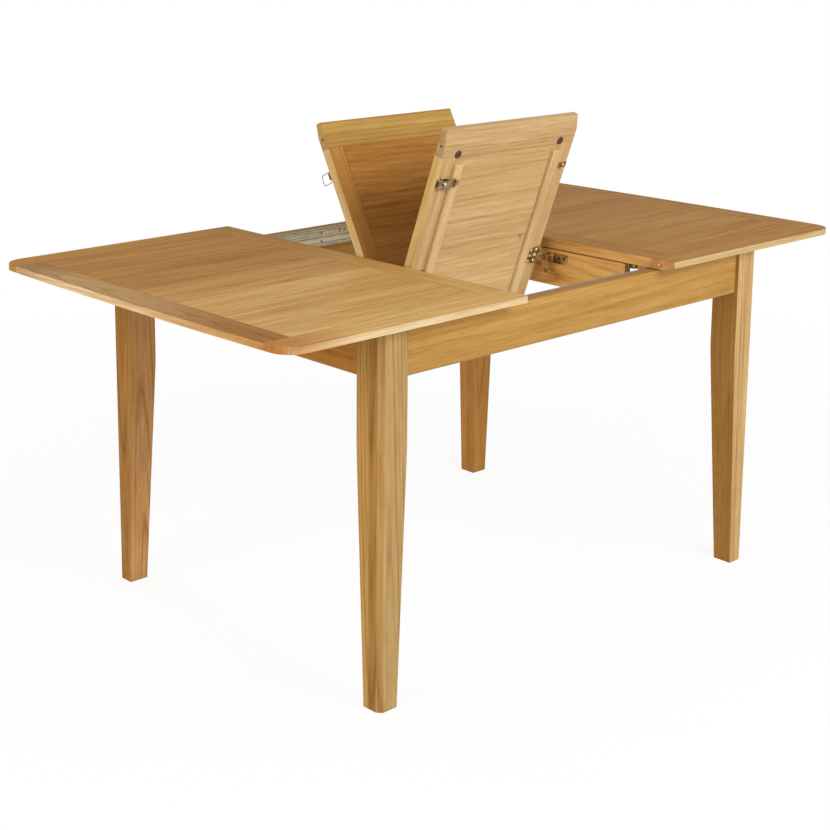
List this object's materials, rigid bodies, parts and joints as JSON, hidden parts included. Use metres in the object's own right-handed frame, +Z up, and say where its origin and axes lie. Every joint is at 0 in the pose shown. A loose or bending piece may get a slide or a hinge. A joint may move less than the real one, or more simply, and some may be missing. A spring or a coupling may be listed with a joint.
{
  "type": "butterfly leaf extending dining table",
  "caption": "Extending oak dining table on tapered legs, its two tops drawn apart on slides and its hinged butterfly leaf half unfolded in the gap.",
  "frame": {"origin": "on the floor, under the centre of the table", "axes": "+X along the table towards the right top, +Y across it towards the far side, +Z up"},
  "size_m": [1.685, 0.951, 1.0683],
  "materials": {
    "oak_frame": "satin lacquered oak, grain along the legs and rails",
    "oak_border": "satin lacquered oak borders",
    "oak_panel": "satin lacquered oak panels",
    "oak_hidden": "plain oak under the tops and the leaf",
    "slide_steel": "zinc plated sheet",
    "zinc_bolt": "zinc plated",
    "pin_brass": "plain",
    "hinge_bronze": "dark bronze plated steel",
    "bail_wire": "plain wire",
    "bumper_brown": "matt brown"
  },
  "bodies": {
    "base": {"leg_near_left": "oak_frame", "leg_near_right": "oak_frame", "leg_far_left": "oak_frame", "leg_far_right": "oak_frame", "long_rail_near": "oak_frame", "long_rail_far": "oak_frame", "end_rail_left": "oak_frame", "end_rail_right": "oak_frame", "cross_rail_left": "oak_hidden", "cross_rail_right": "oak_hidden", "corner_blocks": "oak_hidden", "leg_bolts": "zinc_bolt", "slide_track_near": "slide_steel", "slide_track_far": "slide_steel", "leaf_pivot_brackets": "hinge_bronze", "leaf_pivot_pins": "hinge_bronze"},
    "left_top": {"left_top_side_border_near": "oak_border", "left_top_side_border_far": "oak_border", "left_top_end_border": "oak_border", "left_top_split_border": "oak_border", "left_top_panel": "oak_panel", "left_top_bearers": "oak_hidden", "left_slide_runners": "slide_steel", "left_locating_pins": "pin_brass", "left_latch_hooks": "hinge_bronze"},
    "right_top": {"right_top_side_border_near": "oak_border", "right_top_side_border_far": "oak_border", "right_top_end_border": "oak_border", "right_top_split_border": "oak_border", "right_top_panel": "oak_panel", "right_top_bearers": "oak_hidden", "right_slide_runners": "slide_steel", "right_locating_pins": "pin_brass", "right_latch_bases": "hinge_bronze"},
    "pivot_arms": {"leaf_pivot_arms": "hinge_bronze"},
    "near_leaf": {"near_leaf_panel": "oak_panel", "near_leaf_free_border": "oak_border", "near_leaf_end_borders": "oak_border", "near_leaf_battens": "oak_hidden", "near_leaf_bumpers": "bumper_brown", "leaf_pivot_plates": "hinge_bronze", "near_fold_hinge_plates": "hinge_bronze", "near_latch_bases": "hinge_bronze"},
    "far_leaf": {"far_leaf_panel": "oak_panel", "far_leaf_free_border": "oak_border", "far_leaf_end_borders": "oak_border", "far_leaf_battens": "oak_hidden", "far_leaf_bumpers": "bumper_brown", "far_fold_hinge_plates": "hinge_bronze", "far_latch_bases": "hinge_bronze"},
    "latch_lever_near_left": {"latch_lever_near_left": "hinge_bronze"},
    "latch_bail_near_left": {"latch_bail_near_left": "bail_wire"},
    "latch_lever_near_right": {"latch_lever_near_right": "hinge_bronze"},
    "latch_bail_near_right": {"latch_bail_near_right": "bail_wire"},
    "latch_lever_far_left": {"latch_lever_far_left": "hinge_bronze"},
    "latch_bail_far_left": {"latch_bail_far_left": "bail_wire"},
    "latch_lever_far_right": {"latch_lever_far_right": "hinge_bronze"},
    "latch_bail_far_right": {"latch_bail_far_right": "bail_wire"}
  },
  "joints": [
    {"name": "left_top_slide", "type": "slide", "parent": "base", "child": "left_top", "axis": [-1, 0, 0], "range_m": [-0.0277, 0.008]},
    {"name": "right_top_slide", "type": "slide", "parent": "base", "child": "right_top", "axis": [1, 0, 0], "range_m": [-0.0277, 0.008]},
    {"name": "leaf_stow", "type": "hinge", "parent": "base", "child": "pivot_arms", "pos_m": [0, -0.13, 0.73], "axis": [-1, 0, 0], "range_deg": [0, 84.6]},
    {"name": "leaf_unfold", "type": "hinge", "parent": "pivot_arms", "child": "near_leaf", "pos_m": [0, -0.13, 0.73], "axis": [-1, 0, 0], "range_deg": [-70.4, 24.9]},
    {"name": "leaf_fold", "type": "hinge", "parent": "near_leaf", "child": "far_leaf", "pos_m": [0, -0.04857, 0.621], "axis": [1, 0, 0], "range_deg": [-132.91, 47.05]},
    {"name": "lever_near_left", "type": "hinge", "parent": "near_leaf", "child": "latch_lever_near_left", "pos_m": [-0.1965, -0.19518, 0.94881], "axis": [0, 0.3355, -0.9421], "range_deg": [0, 90]},
    {"name": "bail_near_left", "type": "hinge", "parent": "latch_lever_near_left", "child": "latch_bail_near_left", "pos_m": [-0.1915, -0.19424, 0.94915], "axis": [0, -0.3355, 0.9421], "range_deg": [-169.1, 0]},
    {"name": "lever_near_right", "type": "hinge", "parent": "right_top", "child": "latch_lever_near_right", "pos_m": [0.2365, -0.358, 0.742], "axis": [0, 1, 0], "range_deg": [0, 90]},
    {"name": "bail_near_right", "type": "hinge", "parent": "latch_lever_near_right", "child": "latch_bail_near_right", "pos_m": [0.2415, -0.358, 0.743], "axis": [0, -1, 0], "range_deg": [-169.1, 0]},
    {"name": "lever_far_left", "type": "hinge", "parent": "far_leaf", "child": "latch_lever_far_left", "pos_m": [-0.1965, 0.14171, 0.92555], "axis": [0, 0.4617, 0.887], "range_deg": [0, 90]},
    {"name": "bail_far_left", "type": "hinge", "parent": "latch_lever_far_left", "child": "latch_bail_far_left", "pos_m": [-0.1915, 0.14082, 0.92601], "axis": [0, -0.4617, -0.887], "range_deg": [-90, 79]},
    {"name": "lever_far_right", "type": "hinge", "parent": "right_top", "child": "latch_lever_far_right", "pos_m": [0.2365, 0.358, 0.742], "axis": [0, 1, 0], "range_deg": [0, 90]},
    {"name": "bail_far_right", "type": "hinge", "parent": "latch_lever_far_right", "child": "latch_bail_far_right", "pos_m": [0.2415, 0.358, 0.743], "axis": [0, -1, 0], "range_deg": [-169.1, 0]}
  ],
  "couplings": [
    {"joint": "leaf_fold", "follows": "leaf_unfold", "ratio": 1.8878}
  ]
}
